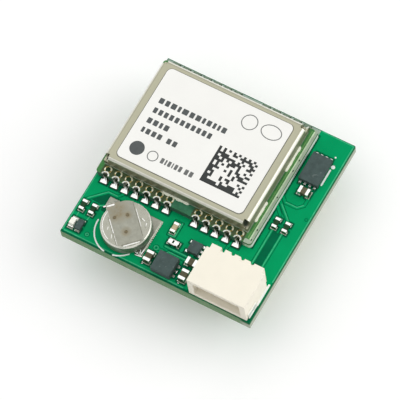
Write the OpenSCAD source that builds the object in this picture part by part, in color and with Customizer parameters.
// Satellite positioning module: a square carrier board with a shielded receiver, a backup
// cell, a compass chip and a four way socket on top, and a ceramic patch antenna below.
// Millimetres. The antenna's outer face lies on z = 0, the component side faces +Z, the
// socket opens towards -Y, and the origin is under the middle of the carrier board.

/* [Carrier board] */
// Thickness of the carrier board
carrier_t = 1.2; // [0.8:0.1:2]
// Thickness of the copper pads
pad_t = 0.05; // [0.03:0.01:0.1]
// How far a pad shows past the part on it
pad_rim = 0.04; // [0.02:0.01:0.1]
// Bare edge left of the first column of small parts
left_edge = 0.43; // [0.3:0.01:1.5]
// Bare edge right of the socket
right_edge = 0.32; // [0.3:0.01:2]
// Bare edge behind the receiver
back_edge = 0.6; // [0.4:0.05:3]

/* [Antenna] */
// Side of the square ceramic block
antenna_side = 15; // [12:0.5:18]
// Thickness of the ceramic block
antenna_h = 4; // [2:0.5:6]
// Bare ceramic round the radiating patch
patch_margin = 1.2; // [0.5:0.1:2]
// Cut across one pair of the patch's corners
patch_trim = 1.1; // [0.5:0.1:2]
// Bare ceramic round the ground face
ground_margin = 0.3; // [0.2:0.1:1]
// Thickness of the silver faces
silver_t = 0.05; // [0.03:0.01:0.1]
// Thickness of the adhesive sheet under the carrier board
tape_t = 0.15; // [0.1:0.05:0.5]
// Bare rim round the adhesive sheet
tape_margin = 0.5; // [0.3:0.1:1]
// Diameter of the feed pin
pin_d = 0.9; // [0.6:0.1:1.2]
// Diameter of the feed pin's flat head
pin_head_d = 1.8; // [1.5:0.1:2.4]
// Thickness of the feed pin's flat head
pin_head_t = 0.3; // [0.2:0.05:0.5]
// Distance of the feed pin behind the antenna's middle
pin_back = 1.5; // [0.5:0.1:3]
// Room round the feed pin in the boards and sheets
pin_room = 0.2; // [0.1:0.05:0.4]

/* [Receiver] */
// Depth of the receiver board
receiver_d = 12.9; // [12:0.1:14]
// Thickness of the receiver board
receiver_t = 0.8; // [0.6:0.1:1.2]
// Rounding of the receiver board's corners
receiver_corner = 0.3; // [0.2:0.05:0.6]
// Gap between the carrier board's left edge and the receiver
receiver_left = 0.1; // [0.1:0.05:1]
// Spacing of the edge contacts
contact_pitch = 1.1; // [1:0.05:1.3]
// Edge contacts in the left group
contacts_left = 7; // [4:1:9]
// Edge contacts in the right group
contacts_right = 5; // [3:1:7]
// Distance between the two groups of edge contacts
group_gap = 3; // [2:0.1:5]
// Distance from the left end of the receiver to its first contact
first_contact = 1.03; // [0.8:0.01:1.5]
// Distance from the last contact to the right end of the receiver
last_contact = 1.4; // [0.9:0.01:2]
// Radius of the half holes in the receiver's edges
notch_r = 0.26; // [0.2:0.01:0.35]
// Thickness of the plating in the half holes
plating_t = 0.05; // [0.03:0.01:0.08]
// Width of the plated ring round each half hole
ring_w = 0.07; // [0.05:0.01:0.15]
// Width of the carrier's pads below the edge contacts
contact_w = 0.72; // [0.6:0.02:0.8]
// Length of the solder in front of each edge contact
solder_toe = 0.5; // [0.5:0.05:1.2]
// Height that the solder climbs in the half holes
solder_rise = 0.4; // [0.3:0.05:0.6]
// Length of the carrier's pads below the receiver
pad_under = 0.7; // [0.5:0.05:1]

/* [Shield can] */
// Height of the can above the receiver board
can_h = 1.55; // [1.3:0.05:2.5]
// Thickness of the can's sheet
can_t = 0.2; // [0.1:0.05:0.3]
// Outer radius of the folds round the top
fold_r = 0.4; // [0.32:0.02:0.6]
// Open notch left at each top corner beside the folds
corner_notch = 0.5; // [0.4:0.02:0.8]
// Depth of those notches below the can's top
notch_drop = 0.8; // [0.5:0.05:1]
// Slit where two walls meet
wall_slit = 0.05; // [0.03:0.01:0.1]
// Receiver board that shows left of the can
can_left = 0.4; // [0.4:0.01:1]
// Receiver board that shows right of the can
can_right = 0.8; // [0.4:0.05:1.2]
// Receiver board that shows in front of the can
can_front = 1; // [0.55:0.05:1]
// Receiver board that shows behind the can
can_back = 0.5; // [0.4:0.05:1]
// Gap under the walls between their feet
foot_gap = 0.2; // [0.1:0.05:0.3]
// Length of the front foot of each end wall
foot_front = 2; // [1:0.1:2]
// Length of the back foot of each end wall
foot_back = 2.9; // [1.5:0.1:3]
// Distance from the can's front to its first foot
foot_start = 1.5; // [1:0.1:2.5]
// Distance from the can's back to its last foot
foot_end = 1.6; // [1:0.1:2]
// Thickness of the label
label_t = 0.06; // [0.04:0.01:0.1]
// Bare can left and right of the label
label_side = 0.96; // [0.6:0.02:1.5]
// Bare can in front of and behind the label
label_front = 0.67; // [0.5:0.01:1.5]
// Radius of the label's corners
label_corner = 0.5; // [0.5:0.1:1.5]

/* [Inside the can] */
// Side of the receiver chip
core_side = 4.5; // [3.5:0.1:5]
// Height of the receiver chip
core_h = 0.6; // [0.4:0.05:0.9]
// Width of the flash chip
flash_w = 3; // [2:0.1:4]
// Depth of the flash chip
flash_d = 1.8; // [1.5:0.1:2]
// Width of the radio filter
filter_w = 1.4; // [1.1:0.1:2]
// Depth of the radio filter
filter_d = 1.1; // [0.9:0.1:1.5]
// Width of the amplifier
amplifier_w = 1.5; // [1:0.1:2]
// Depth of the amplifier
amplifier_d = 1; // [0.8:0.1:1.5]
// Width of the reference oscillator
oscillator_w = 2; // [1.6:0.1:2.5]
// Depth of the reference oscillator
oscillator_d = 1.6; // [1.2:0.1:2]
// Width of the clock crystal
crystal_w = 2; // [1.6:0.1:2.5]
// Depth of the clock crystal
crystal_d = 1.2; // [1:0.1:1.5]
// Width of the power coil
coil_w = 2; // [1.6:0.1:2.5]
// Depth of the power coil
coil_d = 1.25; // [0.8:0.05:1.6]
// Height of the low parts inside the can
inner_h = 0.5; // [0.4:0.05:0.9]
// Height of the tall parts inside the can
inner_tall = 0.8; // [0.6:0.05:1]
// Room between the parts inside the can
inner_gap = 0.4; // [0.3:0.05:0.5]

/* [Backup cell] */
// Diameter of the cell
cell_d = 4.8; // [4.2:0.1:6.8]
// Height of the cell
cell_h = 1.2; // [1.1:0.1:2]
// Wall of the cell's case
cell_wall = 0.15; // [0.1:0.01:0.18]
// Rounding of the cell's top edge
cell_round = 0.22; // [0.2:0.01:0.3]
// Width of the seal ring
seal_w = 0.35; // [0.25:0.01:0.4]
// Thickness of the cell's two terminals
strip_t = 0.12; // [0.1:0.01:0.15]
// Width of the strip on top of the cell
strip_w = 2.5; // [2:0.1:3]
// Width of the top strip's leg
leg_w = 1.3; // [0.8:0.1:1.5]
// Gap between the cell's side and that leg
leg_gap = 0.05; // [0.03:0.01:0.2]
// Length of the foot on the carrier board
foot_l = 0.5; // [0.4:0.05:0.8]
// Width of the lower terminal
lower_w = 3.9; // [2:0.1:4]
// How far the lower terminal's middle lies behind the cell's
lower_shift = 0.3; // [0.3:0.05:1]
// How far the lower terminal shows past the cell
lower_reach = 0.05; // [0.02:0.01:0.3]
// Distance from the board's front edge to the cell
cell_edge = 0.48; // [0.3:0.01:1]
// Gap between the left small parts and the cell
cell_gap = 1.16; // [0.8:0.01:2]
// Gap between the cell and the receiver's solder pads
cell_back_gap = 0.68; // [0.5:0.01:2]

/* [Socket] */
// Number of ways of the socket
ways = 4; // [2:1:6]
// Spacing of the ways
way_pitch = 1; // [1:0.05:1.25]
// Housing left and right of the outer ways
socket_side = 1.5; // [1.3:0.05:2]
// Depth of the socket
socket_d = 4.25; // [3.8:0.05:5]
// Height of the socket
socket_h = 2.9; // [2.6:0.05:3.5]
// Side walls of the socket
socket_wall = 0.6; // [0.4:0.05:0.7]
// Roof of the socket
socket_roof = 0.45; // [0.35:0.05:0.6]
// Floor of the socket
socket_floor = 0.45; // [0.35:0.05:0.6]
// Thickness of the socket's back wall
socket_back = 1.05; // [0.8:0.05:1.2]
// Width of the notches in the back wall
back_notch_w = 0.4; // [0.4:0.05:0.7]
// Depth of the notches in the back wall
back_notch_d = 0.35; // [0.3:0.05:0.5]
// Width of the steps in the housing's back corners
back_step_w = 0.3; // [0.2:0.02:0.5]
// Depth of the steps in the housing's back corners
back_step_d = 0.5; // [0.3:0.05:0.8]
// Thickness of the contacts
blade_t = 0.2; // [0.15:0.01:0.25]
// Width of the contacts
blade_w = 0.3; // [0.2:0.02:0.4]
// Length of the contacts inside the socket
blade_l = 2.2; // [1.5:0.1:2.5]
// Length of the contacts' tails behind the socket
tail_l = 0.6; // [0.4:0.05:1]
// Thickness of the side solder tabs
tab_t = 0.12; // [0.1:0.01:0.15]
// Length of the side solder tabs
tab_l = 1.4; // [1:0.1:1.6]
// Height of the side solder tabs
tab_h = 0.9; // [0.6:0.1:1.5]
// Distance from the socket's mouth to its solder tabs
tab_y = 0.3; // [0.1:0.05:1]
// Reach of the solder tabs' feet
tab_foot = 0.15; // [0.13:0.01:0.28]
// Gap between the board's front edge and the socket
socket_edge = 0.1; // [0.1:0.05:1]
// Gap between the socket's tails and the receiver's solder pads
socket_back_gap = 1; // [0.9:0.05:3]

/* [Chips] */
// Width of the compass chip
compass_w = 2; // [1.6:0.1:3]
// Height of the compass chip
compass_h = 0.8; // [0.6:0.05:1]
// Gap between the board's front edge and the compass chip
compass_edge = 0.36; // [0.3:0.01:1]
// Width of the regulator's body
regulator_w = 1.1; // [1:0.05:1.4]
// Length of the regulator's body
regulator_l = 1.2; // [1.15:0.05:1.8]
// Height of the regulator's body
regulator_h = 0.55; // [0.4:0.05:0.8]
// Width of the memory chip
memory_w = 2; // [1.9:0.1:3]
// Length of the memory chip
memory_l = 3; // [2:0.1:4]
// Height of the memory chip
memory_h = 0.6; // [0.4:0.05:0.9]
// Spacing of the chips' leads
lead_pitch = 0.5; // [0.4:0.01:0.55]
// Width of the chips' leads
lead_w = 0.22; // [0.15:0.01:0.25]
// Length of the chips' leads
lead_l = 0.2; // [0.1:0.01:0.25]
// Thickness of the chips' leads
lead_t = 0.13; // [0.08:0.01:0.2]
// Gap between the receiver and the memory chip
memory_gap = 0.47; // [0.4:0.01:2]
// Gap between the memory chip and the board's right edge
memory_edge = 1; // [0.5:0.05:3]
// Gap between the memory chip and the board's back edge
memory_back = 2.45; // [1:0.05:3]

/* [Small parts] */
// Length of a resistor
chip_l = 1; // [0.8:0.05:1.2]
// Width of a resistor
chip_w = 0.5; // [0.4:0.02:0.6]
// Height of a resistor
chip_h = 0.36; // [0.3:0.02:0.5]
// Length of a resistor's terminals
chip_end = 0.24; // [0.15:0.01:0.3]
// Length of a capacitor
cap_l = 1.05; // [1:0.05:1.6]
// Width of a capacitor
cap_w = 0.7; // [0.6:0.02:0.8]
// Height of a capacitor
cap_h = 0.6; // [0.4:0.05:0.8]
// Length of a capacitor's terminals
cap_end = 0.28; // [0.2:0.01:0.4]
// Thickness of the terminals' metal
end_t = 0.03; // [0.02:0.005:0.04]
// Length of the solder at the ends of the small parts
fillet_l = 0.1; // [0.1:0.01:0.25]
// Length of the lamp
lamp_l = 1; // [0.9:0.05:1.2]
// Width of the lamp
lamp_w = 0.5; // [0.45:0.01:0.6]
// Height of the lamp's base
lamp_base_h = 0.16; // [0.12:0.01:0.2]
// Length of the lamp's terminals
lamp_end = 0.2; // [0.15:0.01:0.25]
// Height of the lamp's lens
lamp_lens_h = 0.3; // [0.2:0.02:0.4]
// Gap between the board's front edge and the lamp
lamp_edge = 0.75; // [0.5:0.05:1]
// Length of the diode
diode_l = 1; // [0.9:0.05:1.2]
// Width of the diode
diode_w = 0.6; // [0.5:0.02:0.65]
// Height of the diode
diode_h = 0.45; // [0.35:0.05:0.6]
// Thickness of the diode's flat terminals
diode_foot = 0.06; // [0.04:0.01:0.1]

/* [Hidden] */
$fn = 48;

// Overshoot of a cut through a face
cut = 0.02;

// Levels from the antenna's outer face upwards
z_ceramic = silver_t;
z_ground = z_ceramic + antenna_h;
z_tape = z_ground + silver_t;
z_carrier = z_tape + tape_t;
z_top = z_carrier + carrier_t;
z_pad = z_top + pad_t;
z_receiver = z_pad + receiver_t;
z_can = z_receiver + can_h;

// Places along the front row, from the carrier's left edge
column_gap = 0.53;
column_1 = left_edge + max(chip_w, lamp_w) / 2;
column_2 = column_1 + chip_w + column_gap;
diode_gap = 0.19;
diode_x = column_1 + lamp_w / 2 + diode_gap + diode_w / 2;
cell_r = cell_d / 2;
cell_x = max(column_2 + chip_w / 2, diode_x + diode_w / 2) + cell_gap + cell_r;
part_gap = 0.37;
cap_1_x = cell_x + cell_r + lower_reach + part_gap + cap_w / 2;
compass_gap = 0.41;
compass_x = cap_1_x + cap_w / 2 + compass_gap + compass_w / 2;
side_gap = 0.68;
cap_2_x = compass_x + compass_w / 2 + side_gap + cap_w / 2;
cap_3_in = 0.52;
cap_3_x = compass_x + compass_w / 2 + cap_3_in + cap_l / 2;
socket_gap = 0.66;
socket_x = max(cap_3_x + cap_l / 2, cap_2_x + cap_w / 2) + socket_gap;
socket_w = (ways - 1) * way_pitch + 2 * socket_side;
regulator_gap = 0.88;
regulator_x = socket_x - regulator_gap - lead_l - regulator_w / 2;
link_left = 0.45;
link_x = compass_x - link_left;
bead_left = 0.67;
bead_x = link_x - bead_left;

// Places towards the back, from the carrier's front edge
lamp_y = lamp_edge + lamp_l / 2;
row_gap = 0.93;
left_row_y = lamp_y + max(lamp_l, diode_l) / 2 + row_gap + chip_l / 2;
cell_y = cell_edge + cell_r;
cap_1_edge = 0.89;
cap_1_y = cap_1_edge + cap_l / 2;
cap_2_edge = 0.74;
cap_2_y = cap_2_edge + cap_l / 2;
compass_y = compass_edge + compass_w / 2;
cap_row_gap = 0.54;
cap_3_y = cap_2_y + cap_l / 2 + cap_row_gap + cap_w / 2;
regulator_front = 0.46;
regulator_y = cap_3_y + cap_w / 2 + regulator_front + regulator_l / 2;
link_front = 1.09;
link_y = compass_y + compass_w / 2 + link_front + chip_w / 2;
bead_front = 0.6;
bead_y = link_y + chip_w / 2 + bead_front + chip_l / 2;
bead_back_gap = 0.37;
solder_y = max(
    cell_y + cell_r + cell_back_gap,
    socket_edge + socket_d + tail_l + socket_back_gap,
    bead_y + chip_l / 2 + bead_back_gap,
    regulator_y + regulator_l / 2 + bead_back_gap
);
receiver_y = solder_y + pad_rim + solder_toe;

// Receiver and carrier outlines
receiver_w = first_contact + last_contact + group_gap + (contacts_left + contacts_right - 2) * contact_pitch;
receiver_x = receiver_left;
receiver_end = receiver_x + receiver_w;
carrier_w = max(socket_x + socket_w + right_edge, receiver_end + memory_gap + memory_w + memory_edge);
carrier_d = receiver_y + receiver_d + back_edge;
contact_x = [
    for (i = [0 : contacts_left - 1]) first_contact + i * contact_pitch,
    for (i = [0 : contacts_right - 1])
        first_contact + (contacts_left - 1 + i) * contact_pitch + group_gap
];

// Places right of the receiver
memory_x = receiver_end + memory_gap + memory_w / 2;
memory_y = carrier_d - memory_back - memory_l / 2;
cap_4_gap = 0.57;
cap_4_right = 0.14;
cap_4_x = memory_x + cap_4_right;
cap_4_y = memory_y - memory_l / 2 - cap_4_gap - cap_w / 2;
pull_gap = 0.58;
pull_1_x = receiver_end + pull_gap + chip_w / 2;
pair_gap = 0.56;
pull_2_x = pull_1_x + chip_w + pair_gap;
pull_front = 3.03;
pull_y = cap_4_y - cap_w / 2 - pull_front - chip_l / 2;

// Solder behind the receiver, kept on the carrier board
back_toe = min(solder_toe, back_edge - 2 * pad_rim);

// Shield can outline
can_w = receiver_w - can_left - can_right;
can_d = receiver_d - can_front - can_back;

// Small parts as [x, y, turn]
resistor_places = [
    [column_1, left_row_y, 90], [column_2, left_row_y, 90],
    [pull_1_x, pull_y, 90], [pull_2_x, pull_y, 90], [link_x, link_y, 0]
];
capacitor_places = [
    [cap_1_x, cap_1_y, 90], [cap_2_x, cap_2_y, 90], [cap_3_x, cap_3_y, 0], [cap_4_x, cap_4_y, 0]
];

// Moves to a place measured from the carrier's left front corner
module on_carrier(x, y, z = z_pad) {
    translate([x - carrier_w / 2, y - carrier_d / 2, z]) children();
}

module on_receiver(x, y, z = z_receiver) {
    on_carrier(receiver_x + x, receiver_y + y, z) children();
}

// Moves to a place measured from the middle of the can's floor
module in_can(x, y) {
    on_receiver(can_left + can_w / 2 + x, can_front + can_d / 2 + y) children();
}

module block(x, y, z) {
    translate([-x / 2, -y / 2, 0]) cube([x, y, z]);
}

module rounded_plate(x, y, z, r) {
    linear_extrude(z) {
        square([x - 2 * r, y], center = true);
        square([x, y - 2 * r], center = true);
        for (i = [-1, 1], j = [-1, 1])
            translate([i * (x / 2 - r), j * (y / 2 - r)]) circle(r);
    }
}

// Ceramic core of a two ended part along X
module part_core(l, w, h) {
    translate([0, 0, end_t]) block(l - 2 * end_t, w - 2 * end_t, h - 2 * end_t);
}

// Metal caps over both ends of such a part
module part_ends(l, w, h, end_l) {
    for (side = [0, 180])
        rotate([0, 0, side])
            difference() {
                translate([l / 2 - end_l, -w / 2, 0]) cube([end_l, w, h]);
                part_core(l, w, h);
            }
}

// Solder that climbs both end faces of such a part
module part_fillets(l, w, h) {
    rise = 0.7 * h;
    for (side = [0, 180])
        rotate([0, 0, side])
            translate([l / 2, w / 2, 0])
                rotate([90, 0, 0])
                    linear_extrude(w)
                        polygon([[0, 0], [fillet_l, 0], [0.35 * fillet_l, 0.3 * rise], [0, rise]]);
}

// Pads below both ends of such a part, with room for the solder
module part_pads(l, w, end_l) {
    long = end_l + fillet_l + pad_rim;
    for (side = [-1, 1])
        translate([side * (l / 2 - end_l + long / 2), 0, -pad_t]) block(long, w + 2 * pad_rim, pad_t);
}

module place_parts(places) {
    for (p = places)
        on_carrier(p[0], p[1]) rotate([0, 0, p[2]]) children();
}

// Square sheet round the feed pin, with a hole of its own
module pierced_sheet(side, t, hole_d) {
    difference() {
        block(side, side, t);
        translate([0, pin_back, -cut]) cylinder(d = hole_d, h = t + 2 * cut);
    }
}

// Radiating face with two trimmed corners, flush with the head of the feed pin
module antenna_patch() {
    side = antenna_side - 2 * patch_margin;
    half = side / 2;
    color("silver")
        difference() {
            linear_extrude(silver_t)
                polygon([
                    [-half, -half], [half - patch_trim, -half], [half, -half + patch_trim],
                    [half, half], [-half + patch_trim, half], [-half, half - patch_trim]
                ]);
            translate([0, pin_back, -cut]) cylinder(d = pin_head_d, h = silver_t + 2 * cut);
        }
}

module antenna_ceramic() {
    color("wheat")
        translate([0, 0, z_ceramic])
            difference() {
                block(antenna_side, antenna_side, antenna_h);
                translate([0, pin_back, -cut]) cylinder(d = pin_d, h = antenna_h + 2 * cut);
                translate([0, pin_back, -cut])
                    cylinder(d = pin_head_d, h = pin_head_t - silver_t + cut);
            }
}

module antenna_ground() {
    side = antenna_side - 2 * ground_margin;
    color("silver")
        translate([0, 0, z_ground]) pierced_sheet(side, silver_t, pin_head_d + 2 * pin_room);
}

module antenna_tape() {
    side = antenna_side - 2 * tape_margin;
    color("gainsboro") translate([0, 0, z_tape]) pierced_sheet(side, tape_t, pin_d + 2 * pin_room);
}

// The pin ends level with the carrier's top, below the receiver
module antenna_feed_pin() {
    color("goldenrod")
        translate([0, pin_back, 0]) {
            cylinder(d = pin_head_d, h = pin_head_t);
            cylinder(d = pin_d, h = z_top);
        }
}

module feed_solder() {
    color("lightgray")
        translate([0, pin_back, z_carrier])
            difference() {
                cylinder(d = pin_d + 2 * pin_room, h = carrier_t);
                translate([0, 0, -cut]) cylinder(d = pin_d, h = carrier_t + 2 * cut);
            }
}

module carrier_board() {
    color("mediumseagreen")
        difference() {
            translate([0, 0, z_carrier]) block(carrier_w, carrier_d, carrier_t);
            translate([0, pin_back, z_carrier - cut])
                cylinder(d = pin_d + 2 * pin_room, h = carrier_t + 2 * cut);
        }
}

// Places a child at each edge contact, with the receiver's inside towards +Y
module at_contacts() {
    for (x = contact_x) {
        on_receiver(x, 0, z_pad) children();
        on_receiver(x, receiver_d, z_pad) mirror([0, 1, 0]) children();
    }
}

// Places one child along the front edge contacts and another along the back ones
module at_edges() {
    for (x = contact_x) {
        on_receiver(x, 0, z_pad) children(0);
        on_receiver(x, receiver_d, z_pad) mirror([0, 1, 0]) children(1);
    }
}

module contact_pad(toe) {
    translate([-contact_w / 2, -toe - pad_rim, -pad_t])
        cube([contact_w, toe + pad_rim + pad_under, pad_t]);
}

// Pad below a chip's lead that points towards +X
module lead_pad() {
    long = 2 * lead_l + pad_rim;
    translate([-lead_l, -lead_w / 2, -pad_t]) cube([long, lead_w, pad_t]);
}

// Rows of children along both sides of a chip, pointing outwards along X
module at_leads(w, left, right) {
    for (y = right)
        translate([w / 2, y, 0]) children();
    for (y = left)
        translate([-w / 2, y, 0]) rotate([0, 0, 180]) children();
}

outer_pair = [-lead_pitch, lead_pitch];
three_row = [-lead_pitch, 0, lead_pitch];
four_row = [for (i = [-1.5 : 1.5]) i * lead_pitch];

module carrier_pads() {
    foot_pad = foot_l + 2 * pad_rim;
    color("gold") {
        at_edges() {
            contact_pad(solder_toe);
            contact_pad(back_toe);
        }
        place_parts(resistor_places) part_pads(chip_l, chip_w, chip_end);
        place_parts([[bead_x, bead_y, 90]]) part_pads(chip_l, chip_w, chip_end);
        place_parts(capacitor_places) part_pads(cap_l, cap_w, cap_end);
        place_parts([[column_1, lamp_y, 90]]) part_pads(lamp_l, lamp_w, lamp_end);
        place_parts([[diode_x, lamp_y, 90]]) part_pads(diode_l, diode_w - 4 * pad_rim, chip_end);
        on_carrier(compass_x, compass_y) at_leads(compass_w, three_row, three_row) lead_pad();
        on_carrier(regulator_x, regulator_y) at_leads(regulator_w, outer_pair, three_row) lead_pad();
        on_carrier(memory_x, memory_y)
            rotate([0, 0, 90]) at_leads(memory_l, four_row, four_row) lead_pad();
        on_carrier(cell_x, cell_y, z_top)
            rotate([0, 0, 135])
                translate([leg_u, leg_v, 0]) linear_extrude(pad_t) strip_foot(pad_rim);
        on_carrier(cell_x, cell_y, z_top)
            translate([cell_r - foot_l, lower_shift - lower_w / 2, 0])
                cube([lower_reach + foot_pad, lower_w, pad_t]);
        on_carrier(socket_x + socket_w / 2, socket_edge, z_top) {
            for (x = way_x)
                translate([x - blade_w / 2 - pad_rim, socket_d - back_notch_d, 0])
                    cube([blade_w + 2 * pad_rim, back_notch_d + tail_l + pad_rim, pad_t]);
            for (side = [0, 1])
                mirror([side, 0, 0])
                    translate([socket_w / 2 - tab_foot, tab_y, 0]) cube([2 * tab_foot, tab_l, pad_t]);
        }
    }
}

module receiver_board() {
    color("seagreen")
        difference() {
            on_receiver(receiver_w / 2, receiver_d / 2, z_pad)
                rounded_plate(receiver_w, receiver_d, receiver_t, receiver_corner);
            at_contacts()
                translate([0, 0, -cut]) cylinder(r = notch_r + plating_t, h = receiver_t + 2 * cut);
        }
}

// Plated half hole with its ring on the receiver board's top
module edge_contact() {
    outer = notch_r + plating_t + ring_w;
    high = receiver_t + plating_t;
    difference() {
        union() {
            cylinder(r = notch_r + plating_t, h = receiver_t);
            translate([0, 0, receiver_t]) cylinder(r = outer, h = plating_t);
        }
        translate([0, 0, -cut]) cylinder(r = notch_r, h = high + 2 * cut);
        translate([-outer - cut, -outer - cut, -cut])
            cube([2 * outer + 2 * cut, outer + cut, high + 2 * cut]);
    }
}

module receiver_contacts() {
    color("gold") at_contacts() edge_contact();
}

// Solder that stands in a half hole and runs out over the pad to a round tip
module contact_solder(toe) {
    half = contact_w / 2 - pad_rim;
    intersection() {
        cylinder(r = notch_r, h = solder_rise);
        translate([-notch_r, 0, 0]) cube([2 * notch_r, notch_r, solder_rise]);
    }
    intersection() {
        rotate([90, 0, 90])
            linear_extrude(2 * half, center = true)
                polygon([
                    [0, 0], [0, solder_rise], [-0.2 * toe, 0.8 * solder_rise],
                    [-0.5 * toe, 0.4 * solder_rise], [-toe, 0.15 * solder_rise], [-toe, 0]
                ]);
        linear_extrude(solder_rise) {
            translate([-half, half - toe]) square([2 * half, toe - half]);
            translate([0, half - toe]) circle(half);
        }
    }
}

module receiver_solder() {
    color("white")
        at_edges() {
            contact_solder(solder_toe);
            contact_solder(back_toe);
        }
}

// Outline of the can's section, rounded at the two upper corners
module can_outline(w, h, r) {
    translate([-w / 2, 0]) square([w, h - r]);
    translate([-w / 2 + r, 0]) square([w - 2 * r, h]);
    for (side = [-1, 1])
        translate([side * (w / 2 - r), h - r]) circle(r);
}

// Sheet folded down along two sides
module can_channel(w, long) {
    rotate([90, 0, 0])
        linear_extrude(long, center = true)
            difference() {
                can_outline(w, can_h, fold_r);
                translate([0, -cut])
                    can_outline(w - 2 * can_t, can_h - can_t + cut, fold_r - can_t);
            }
}

// Opening under a wall, from one place along it to another
module wall_gap(from, to, reach) {
    translate([from, -reach, -cut]) cube([to - from, 2 * reach, foot_gap + cut]);
}

// One sheet folded down on four sides, with open notches at the top corners
module shield_can() {
    low = can_h - notch_drop;
    front_half = can_w / 2 - can_t - wall_slit;
    color("darkkhaki")
        in_can(0, 0)
            difference() {
                union() {
                    can_channel(can_w, can_d - 2 * corner_notch);
                    rotate([0, 0, 90]) can_channel(can_d, can_w - 2 * corner_notch);
                    for (side = [-1, 1]) {
                        translate([side * (can_w - can_t) / 2, 0, 0]) block(can_t, can_d, low);
                        translate([0, side * (can_d - can_t) / 2, 0]) block(2 * front_half, can_t, low);
                    }
                }
                rotate([0, 0, 90]) {
                    wall_gap(-can_d / 2 - cut, -can_d / 2 + foot_start, can_w);
                    wall_gap(-can_d / 2 + foot_start + foot_front, can_d / 2 - foot_end - foot_back, can_w);
                    wall_gap(can_d / 2 - foot_end, can_d / 2 + cut, can_w);
                }
                wall_gap(-front_half + foot_front, -foot_back / 2, can_d);
                wall_gap(foot_back / 2, front_half - foot_front, can_d);
            }
}

module receiver_label() {
    color("white")
        in_can(0, 0)
            translate([0, 0, can_h])
                rounded_plate(can_w - 2 * label_side, can_d - 2 * label_front, label_t, label_corner);
}

module receiver_chip() {
    color("dimgray") in_can(0, 0) block(core_side, core_side, core_h);
}

module flash_chip() {
    color("dimgray")
        in_can(0, -(core_side + flash_d) / 2 - inner_gap) block(flash_w, flash_d, inner_h);
}

module radio_filter() {
    color("gainsboro")
        in_can(-(core_side + filter_w) / 2 - inner_gap, (filter_d + inner_gap) / 2)
            block(filter_w, filter_d, inner_h);
}

module amplifier_chip() {
    color("dimgray")
        in_can(-(core_side + amplifier_w) / 2 - inner_gap, -(amplifier_d + inner_gap) / 2)
            block(amplifier_w, amplifier_d, inner_h);
}

module reference_oscillator() {
    color("silver")
        in_can((core_side + oscillator_w) / 2 + inner_gap, (oscillator_d + inner_gap) / 2)
            block(oscillator_w, oscillator_d, inner_tall);
}

module clock_crystal() {
    color("silver")
        in_can((core_side + crystal_w) / 2 + inner_gap, -(crystal_d + inner_gap) / 2)
            block(crystal_w, crystal_d, inner_h);
}

module power_coil() {
    color("gray")
        in_can(0, (core_side + coil_d) / 2 + inner_gap) block(coil_w, coil_d, inner_tall);
}

module receiver_capacitors() {
    y = (core_side + chip_w) / 2 + inner_gap;
    color("tan")
        for (side = [-1, 1]) {
            in_can(side * ((coil_w + chip_l) / 2 + inner_gap), y) block(chip_l, chip_w, chip_h);
            in_can(side * ((flash_w + chip_l) / 2 + inner_gap), -y) block(chip_l, chip_w, chip_h);
        }
}

// The cell lies with its closed case upwards and its cap on the lower terminal
seal_r = cell_r - cell_wall;
cap_r = seal_r - seal_w;
lip_r = seal_r - seal_w / 2;
lip_lift = 0.05;
lip_top = lip_lift + cell_wall;
cap_top = cell_h / 2;
seal_top = cap_top + cell_wall;
core_top = cell_h - cell_wall;

module on_cell_base() {
    on_carrier(cell_x, cell_y, z_pad + strip_t) children();
}

module cell_case() {
    color("silver")
        on_cell_base()
            rotate_extrude()
                difference() {
                    union() {
                        translate([0, lip_lift]) square([cell_r, cell_h - cell_round - lip_lift]);
                        translate([0, lip_lift]) square([cell_r - cell_round, cell_h - lip_lift]);
                        translate([cell_r - cell_round, cell_h - cell_round]) circle(cell_round);
                    }
                    translate([0, lip_top]) square([seal_r, core_top - lip_top]);
                    square([lip_r, cell_h / 2]);
                }
}

module cell_seal() {
    color("black")
        on_cell_base()
            rotate_extrude() translate([cap_r, lip_top]) square([seal_w, seal_top - lip_top]);
}

module cell_cap() {
    color("silver")
        on_cell_base()
            rotate_extrude()
                difference() {
                    square([cap_r, cap_top]);
                    translate([0, cell_wall]) square([cap_r - cell_wall, cap_top]);
                }
}

// Pellets and separator that fill the case
module cell_core() {
    color("dimgray")
        on_cell_base()
            rotate_extrude() {
                translate([0, cell_wall]) square([cap_r - cell_wall, core_top - cell_wall]);
                translate([0, cap_top]) square([cap_r, core_top - cap_top]);
                translate([0, seal_top]) square([seal_r, core_top - seal_top]);
            }
}

leg_u = cell_r + leg_gap;
leg_v = strip_w / 2 - leg_w;
strip_inset = 0.05;
strip_end = cell_r - 0.2;
bend_r = 0.15;

// Quarter bend of the strip, from its flat end down into its leg
module strip_bend() {
    outer = bend_r + strip_t;
    rotate([-90, 0, 0])
        linear_extrude(leg_w)
            intersection() {
                difference() {
                    circle(outer);
                    circle(bend_r);
                }
                translate([0, -outer]) square(outer);
            }
}

// Outline of the strip's foot, cut to a square corner along the board's edges
module strip_foot(rim) {
    reach = strip_t + foot_l;
    polygon([
        [-rim, -rim],
        [reach, -rim],
        [reach + leg_w / 2 + rim, leg_w / 2],
        [reach, leg_w + rim],
        [-rim, leg_w + rim],
    ]);
}

// Strip welded across the cell's top, with a leg bent down to a foot behind it
module cell_top_terminal() {
    drop = cell_h + strip_t;
    flat = leg_u - bend_r;
    color("lightgray")
        on_cell_base()
            translate([0, 0, cell_h])
                rotate([0, 0, 135]) {
                    linear_extrude(strip_t) {
                        intersection() {
                            translate([-strip_end, -strip_w / 2]) square([strip_end + flat, strip_w]);
                            circle(cell_r - strip_inset);
                        }
                        translate([0, leg_v]) square([flat, leg_w]);
                    }
                    translate([flat, leg_v, -bend_r]) strip_bend();
                    translate([leg_u, leg_v, -drop]) cube([strip_t, leg_w, drop - bend_r]);
                    translate([leg_u, leg_v, -drop]) linear_extrude(strip_t) strip_foot(0);
                }
}

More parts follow.
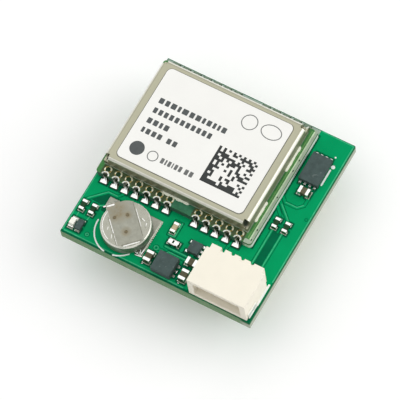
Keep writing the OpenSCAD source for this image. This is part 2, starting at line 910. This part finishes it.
module cell_lower_terminal() {
    color("lightgray")
        on_carrier(cell_x, cell_y)
            translate([-cell_r / 2, lower_shift - lower_w / 2, 0])
                cube([1.5 * cell_r + lower_reach, lower_w, strip_t]);
}

way_x = [for (i = [0 : ways - 1]) (i - (ways - 1) / 2) * way_pitch];
blade_z = (socket_h - blade_t) / 2;

module on_socket() {
    on_carrier(socket_x + socket_w / 2, socket_edge) children();
}

// Shroud open to the front, with a notch behind each way for its contact
module socket_housing() {
    color("oldlace")
        on_socket()
            difference() {
                translate([-socket_w / 2, 0, 0]) cube([socket_w, socket_d, socket_h]);
                translate([-socket_w / 2 + socket_wall, -cut, socket_floor])
                    cube([
                        socket_w - 2 * socket_wall,
                        socket_d - socket_back + cut,
                        socket_h - socket_floor - socket_roof
                    ]);
                for (side = [0, 1])
                    mirror([side, 0, 0])
                        translate([socket_w / 2 - back_step_w, socket_d - back_step_d, -cut])
                            cube([back_step_w + cut, back_step_d + cut, socket_h + 2 * cut]);
                for (x = way_x) {
                    translate([x - back_notch_w / 2, socket_d - back_notch_d, -cut])
                        cube([back_notch_w, back_notch_d + cut, socket_h + 2 * cut]);
                    translate([x - blade_w / 2, socket_d - socket_back - cut, blade_z])
                        cube([blade_w, socket_back + 2 * cut, blade_t]);
                }
            }
}

// Blade in the mouth, leg in the back notch and tail on the carrier's pad
module socket_contacts() {
    leg_y = socket_d - back_notch_d;
    blade_y = socket_d - socket_back - blade_l;
    color("goldenrod")
        on_socket()
            for (x = way_x)
                translate([x - blade_w / 2, 0, 0]) {
                    translate([0, blade_y, blade_z]) cube([blade_w, leg_y + blade_t - blade_y, blade_t]);
                    translate([0, leg_y, 0]) cube([blade_w, blade_t, blade_z + blade_t]);
                    translate([0, leg_y, 0]) cube([blade_w, back_notch_d + tail_l, blade_t]);
                }
}

module socket_tabs() {
    color("lightgray")
        on_socket()
            for (side = [0, 1])
                mirror([side, 0, 0])
                    translate([socket_w / 2, tab_y, 0]) {
                        cube([tab_t, tab_l, tab_h]);
                        cube([tab_foot, tab_l, tab_t]);
                    }
}

module compass_chip() {
    color("darkslategray") on_carrier(compass_x, compass_y) block(compass_w, compass_w, compass_h);
}

// Lead that leaves a chip's side towards +X
module chip_lead() {
    translate([0, -lead_w / 2, 0]) cube([lead_l, lead_w, lead_t]);
}

module regulator_body() {
    color("darkslategray")
        on_carrier(regulator_x, regulator_y) block(regulator_w, regulator_l, regulator_h);
}

module regulator_leads() {
    color("lightgray")
        on_carrier(regulator_x, regulator_y) at_leads(regulator_w, outer_pair, three_row) chip_lead();
}

module memory_body() {
    color("darkslategray") on_carrier(memory_x, memory_y) block(memory_w, memory_l, memory_h);
}

module memory_leads() {
    color("lightgray")
        on_carrier(memory_x, memory_y)
            rotate([0, 0, 90]) at_leads(memory_l, four_row, four_row) chip_lead();
}

module lamp_base() {
    color("whitesmoke")
        place_parts([[column_1, lamp_y, 90]]) block(lamp_l - 2 * lamp_end, lamp_w, lamp_base_h);
}

// Clear block with sloping ends
module lamp_lens() {
    low = lamp_l / 2 - lamp_end / 2;
    high = lamp_l / 2 - lamp_end;
    color("ivory")
        place_parts([[column_1, lamp_y, 90]])
            translate([0, lamp_w / 2, lamp_base_h])
                rotate([90, 0, 0])
                    linear_extrude(lamp_w)
                        polygon([[-low, 0], [low, 0], [high, lamp_lens_h], [-high, lamp_lens_h]]);
}

module lamp_terminals() {
    color("lightgray")
        place_parts([[column_1, lamp_y, 90]])
            for (side = [-1, 1])
                translate([side * (lamp_l - lamp_end) / 2, 0, 0]) block(lamp_end, lamp_w, lamp_base_h);
}

module diode_body() {
    color("darkslategray")
        place_parts([[diode_x, lamp_y, 90]])
            translate([0, 0, diode_foot]) block(diode_l, diode_w, diode_h - diode_foot);
}

module diode_terminals() {
    color("lightgray")
        place_parts([[diode_x, lamp_y, 90]])
            for (side = [-1, 1])
                translate([side * (diode_l - chip_end) / 2, 0, 0])
                    block(chip_end, diode_w - 4 * pad_rim, diode_foot);
}

module resistor_bodies() {
    color("black") place_parts(resistor_places) part_core(chip_l, chip_w, chip_h);
}

module resistor_terminals() {
    color("gainsboro") place_parts(resistor_places) part_ends(chip_l, chip_w, chip_h, chip_end);
}

module capacitor_bodies() {
    color("saddlebrown") place_parts(capacitor_places) part_core(cap_l, cap_w, cap_h);
}

module capacitor_terminals() {
    color("gainsboro") place_parts(capacitor_places) part_ends(cap_l, cap_w, cap_h, cap_end);
}

module bead_body() {
    color("burlywood") place_parts([[bead_x, bead_y, 90]]) part_core(chip_l, chip_w, chip_h);
}

module bead_terminals() {
    color("gainsboro")
        place_parts([[bead_x, bead_y, 90]]) part_ends(chip_l, chip_w, chip_h, chip_end);
}

module part_solder() {
    color("white") {
        place_parts(resistor_places) part_fillets(chip_l, chip_w, chip_h);
        place_parts([[bead_x, bead_y, 90]]) part_fillets(chip_l, chip_w, chip_h);
        place_parts(capacitor_places) part_fillets(cap_l, cap_w, cap_h);
        place_parts([[column_1, lamp_y, 90]]) part_fillets(lamp_l, lamp_w, lamp_base_h);
    }
}

antenna_patch();
antenna_ceramic();
antenna_ground();
antenna_feed_pin();
antenna_tape();
feed_solder();
carrier_board();
carrier_pads();
receiver_board();
receiver_contacts();
receiver_solder();
shield_can();
receiver_label();
receiver_chip();
flash_chip();
radio_filter();
amplifier_chip();
reference_oscillator();
clock_crystal();
power_coil();
receiver_capacitors();
cell_case();
cell_seal();
cell_cap();
cell_core();
cell_top_terminal();
cell_lower_terminal();
socket_housing();
socket_contacts();
socket_tabs();
compass_chip();
regulator_body();
regulator_leads();
memory_body();
memory_leads();
lamp_base();
lamp_lens();
lamp_terminals();
diode_body();
diode_terminals();
resistor_bodies();
resistor_terminals();
capacitor_bodies();
capacitor_terminals();
bead_body();
bead_terminals();
part_solder();
